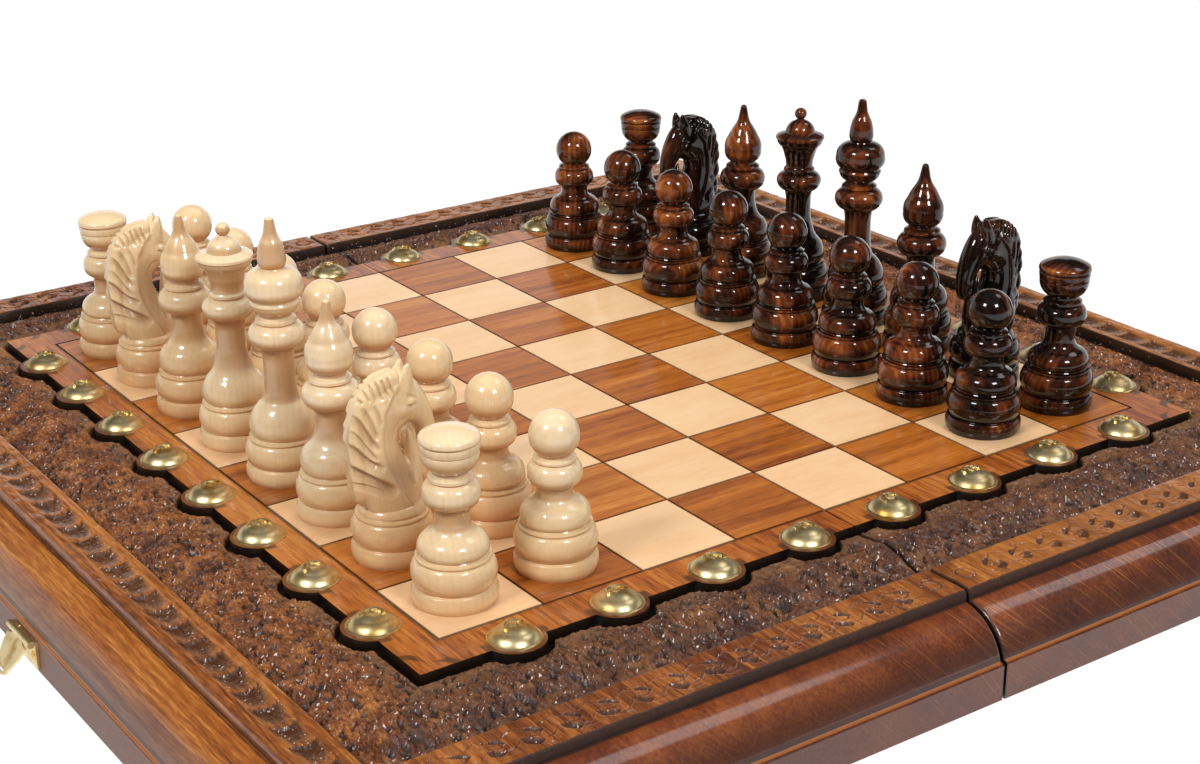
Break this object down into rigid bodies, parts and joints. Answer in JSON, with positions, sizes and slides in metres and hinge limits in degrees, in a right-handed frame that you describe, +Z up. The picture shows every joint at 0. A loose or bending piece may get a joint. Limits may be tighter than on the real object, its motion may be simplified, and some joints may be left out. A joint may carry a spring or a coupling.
{
  "type": "folding chess set",
  "caption": "Folding carved wooden chess board with brass studs, rim hinges and end latches, set up with turned and carved chess pieces that lift off.",
  "frame": {"origin": "centre of the open board's footprint on the table, on the fold line", "axes": "+X from White's end to Black's end, +Y from the h file to the a file, +Z up"},
  "size_m": [0.5182, 0.5028, 0.1344],
  "materials": {
    "stained_wood": "hardwood stained orange brown to dark brown under gloss lacquer",
    "pale_veneer": "pale veneer under clear lacquer",
    "brown_veneer": "brown veneer under clear lacquer",
    "brass": "polished pale brass",
    "felt": "dark green felt",
    "pale_wood": "turned pale hardwood under gloss lacquer",
    "dark_wood": "turned wood stained red black under gloss lacquer"
  },
  "bodies": {
    "white_half": {"white_carved_board": "stained_wood", "white_field_plate": "stained_wood", "white_light_squares": "pale_veneer", "white_dark_squares": "brown_veneer", "white_studs": "brass", "white_side_rails": "stained_wood", "white_end_rail": "stained_wood", "white_spine_rail": "stained_wood", "white_felt_pads": "felt", "hinge_leaves_white": "brass", "hinge_pins": "brass", "hinge_screws_white": "brass", "latch_plates": "brass", "latch_pins": "brass"},
    "black_half": {"black_carved_board": "stained_wood", "black_field_plate": "stained_wood", "black_light_squares": "pale_veneer", "black_dark_squares": "brown_veneer", "black_studs": "brass", "black_side_rails": "stained_wood", "black_end_rail": "stained_wood", "black_spine_rail": "stained_wood", "black_felt_pads": "felt", "hinge_leaves_black": "brass", "hinge_screws_black": "brass", "latch_catches": "brass"},
    "latch_near": {"latch_tongue_near": "brass"},
    "latch_far": {"latch_tongue_far": "brass"},
    "white_rook_h": {"white_rook_h": "pale_wood"},
    "white_knight_g": {"white_knight_g": "pale_wood"},
    "white_bishop_f": {"white_bishop_f": "pale_wood"},
    "white_king": {"white_king": "pale_wood"},
    "white_queen": {"white_queen": "pale_wood"},
    "white_bishop_c": {"white_bishop_c": "pale_wood"},
    "white_knight_b": {"white_knight_b": "pale_wood"},
    "white_rook_a": {"white_rook_a": "pale_wood"},
    "white_pawn_h": {"white_pawn_h": "pale_wood"},
    "white_pawn_g": {"white_pawn_g": "pale_wood"},
    "white_pawn_f": {"white_pawn_f": "pale_wood"},
    "white_pawn_e": {"white_pawn_e": "pale_wood"},
    "white_pawn_d": {"white_pawn_d": "pale_wood"},
    "white_pawn_c": {"white_pawn_c": "pale_wood"},
    "white_pawn_b": {"white_pawn_b": "pale_wood"},
    "white_pawn_a": {"white_pawn_a": "pale_wood"},
    "black_rook_h": {"black_rook_h": "dark_wood"},
    "black_knight_g": {"black_knight_g": "dark_wood"},
    "black_bishop_f": {"black_bishop_f": "dark_wood"},
    "black_king": {"black_king": "dark_wood"},
    "black_queen": {"black_queen": "dark_wood"},
    "black_bishop_c": {"black_bishop_c": "dark_wood"},
    "black_knight_b": {"black_knight_b": "dark_wood"},
    "black_rook_a": {"black_rook_a": "dark_wood"},
    "black_pawn_h": {"black_pawn_h": "dark_wood"},
    "black_pawn_g": {"black_pawn_g": "dark_wood"},
    "black_pawn_f": {"black_pawn_f": "dark_wood"},
    "black_pawn_e": {"black_pawn_e": "dark_wood"},
    "black_pawn_d": {"black_pawn_d": "dark_wood"},
    "black_pawn_c": {"black_pawn_c": "dark_wood"},
    "black_pawn_b": {"black_pawn_b": "dark_wood"},
    "black_pawn_a": {"black_pawn_a": "dark_wood"}
  },
  "joints": [
    {"name": "fold", "type": "hinge", "parent": "white_half", "child": "black_half", "pos_m": [0, 0, 0.0013], "axis": [0, 1, 0], "range_deg": [0, 179.65]},
    {"name": "latch_near_swing", "type": "hinge", "parent": "white_half", "child": "latch_near", "pos_m": [-0.2536, -0.039, 0.0126], "axis": [0, 1, 0], "range_deg": [-35.5, 80]},
    {"name": "latch_far_swing", "type": "hinge", "parent": "white_half", "child": "latch_far", "pos_m": [-0.2536, 0.039, 0.0126], "axis": [0, 1, 0], "range_deg": [-35.5, 80]},
    {"name": "lift_white_rook_h", "type": "slide", "parent": "white_half", "child": "white_rook_h", "axis": [0, 0, 1], "range_m": [0, 0.12]},
    {"name": "lift_white_knight_g", "type": "slide", "parent": "white_half", "child": "white_knight_g", "axis": [0, 0, 1], "range_m": [0, 0.12]},
    {"name": "lift_white_bishop_f", "type": "slide", "parent": "white_half", "child": "white_bishop_f", "axis": [0, 0, 1], "range_m": [0, 0.12]},
    {"name": "lift_white_king", "type": "slide", "parent": "white_half", "child": "white_king", "axis": [0, 0, 1], "range_m": [0, 0.12]},
    {"name": "lift_white_queen", "type": "slide", "parent": "white_half", "child": "white_queen", "axis": [0, 0, 1], "range_m": [0, 0.12]},
    {"name": "lift_white_bishop_c", "type": "slide", "parent": "white_half", "child": "white_bishop_c", "axis": [0, 0, 1], "range_m": [0, 0.12]},
    {"name": "lift_white_knight_b", "type": "slide", "parent": "white_half", "child": "white_knight_b", "axis": [0, 0, 1], "range_m": [0, 0.12]},
    {"name": "lift_white_rook_a", "type": "slide", "parent": "white_half", "child": "white_rook_a", "axis": [0, 0, 1], "range_m": [0, 0.12]},
    {"name": "lift_white_pawn_h", "type": "slide", "parent": "white_half", "child": "white_pawn_h", "axis": [0, 0, 1], "range_m": [0, 0.12]},
    {"name": "lift_white_pawn_g", "type": "slide", "parent": "white_half", "child": "white_pawn_g", "axis": [0, 0, 1], "range_m": [0, 0.12]},
    {"name": "lift_white_pawn_f", "type": "slide", "parent": "white_half", "child": "white_pawn_f", "axis": [0, 0, 1], "range_m": [0, 0.12]},
    {"name": "lift_white_pawn_e", "type": "slide", "parent": "white_half", "child": "white_pawn_e", "axis": [0, 0, 1], "range_m": [0, 0.12]},
    {"name": "lift_white_pawn_d", "type": "slide", "parent": "white_half", "child": "white_pawn_d", "axis": [0, 0, 1], "range_m": [0, 0.12]},
    {"name": "lift_white_pawn_c", "type": "slide", "parent": "white_half", "child": "white_pawn_c", "axis": [0, 0, 1], "range_m": [0, 0.12]},
    {"name": "lift_white_pawn_b", "type": "slide", "parent": "white_half", "child": "white_pawn_b", "axis": [0, 0, 1], "range_m": [0, 0.12]},
    {"name": "lift_white_pawn_a", "type": "slide", "parent": "white_half", "child": "white_pawn_a", "axis": [0, 0, 1], "range_m": [0, 0.12]},
    {"name": "lift_black_rook_h", "type": "slide", "parent": "black_half", "child": "black_rook_h", "axis": [0, 0, 1], "range_m": [0, 0.12]},
    {"name": "lift_black_knight_g", "type": "slide", "parent": "black_half", "child": "black_knight_g", "axis": [0, 0, 1], "range_m": [0, 0.12]},
    {"name": "lift_black_bishop_f", "type": "slide", "parent": "black_half", "child": "black_bishop_f", "axis": [0, 0, 1], "range_m": [0, 0.12]},
    {"name": "lift_black_king", "type": "slide", "parent": "black_half", "child": "black_king", "axis": [0, 0, 1], "range_m": [0, 0.12]},
    {"name": "lift_black_queen", "type": "slide", "parent": "black_half", "child": "black_queen", "axis": [0, 0, 1], "range_m": [0, 0.12]},
    {"name": "lift_black_bishop_c", "type": "slide", "parent": "black_half", "child": "black_bishop_c", "axis": [0, 0, 1], "range_m": [0, 0.12]},
    {"name": "lift_black_knight_b", "type": "slide", "parent": "black_half", "child": "black_knight_b", "axis": [0, 0, 1], "range_m": [0, 0.12]},
    {"name": "lift_black_rook_a", "type": "slide", "parent": "black_half", "child": "black_rook_a", "axis": [0, 0, 1], "range_m": [0, 0.12]},
    {"name": "lift_black_pawn_h", "type": "slide", "parent": "black_half", "child": "black_pawn_h", "axis": [0, 0, 1], "range_m": [0, 0.12]},
    {"name": "lift_black_pawn_g", "type": "slide", "parent": "black_half", "child": "black_pawn_g", "axis": [0, 0, 1], "range_m": [0, 0.12]},
    {"name": "lift_black_pawn_f", "type": "slide", "parent": "black_half", "child": "black_pawn_f", "axis": [0, 0, 1], "range_m": [0, 0.12]},
    {"name": "lift_black_pawn_e", "type": "slide", "parent": "black_half", "child": "black_pawn_e", "axis": [0, 0, 1], "range_m": [0, 0.12]},
    {"name": "lift_black_pawn_d", "type": "slide", "parent": "black_half", "child": "black_pawn_d", "axis": [0, 0, 1], "range_m": [0, 0.12]},
    {"name": "lift_black_pawn_c", "type": "slide", "parent": "black_half", "child": "black_pawn_c", "axis": [0, 0, 1], "range_m": [0, 0.12]},
    {"name": "lift_black_pawn_b", "type": "slide", "parent": "black_half", "child": "black_pawn_b", "axis": [0, 0, 1], "range_m": [0, 0.12]},
    {"name": "lift_black_pawn_a", "type": "slide", "parent": "black_half", "child": "black_pawn_a", "axis": [0, 0, 1], "range_m": [0, 0.12]}
  ]
}
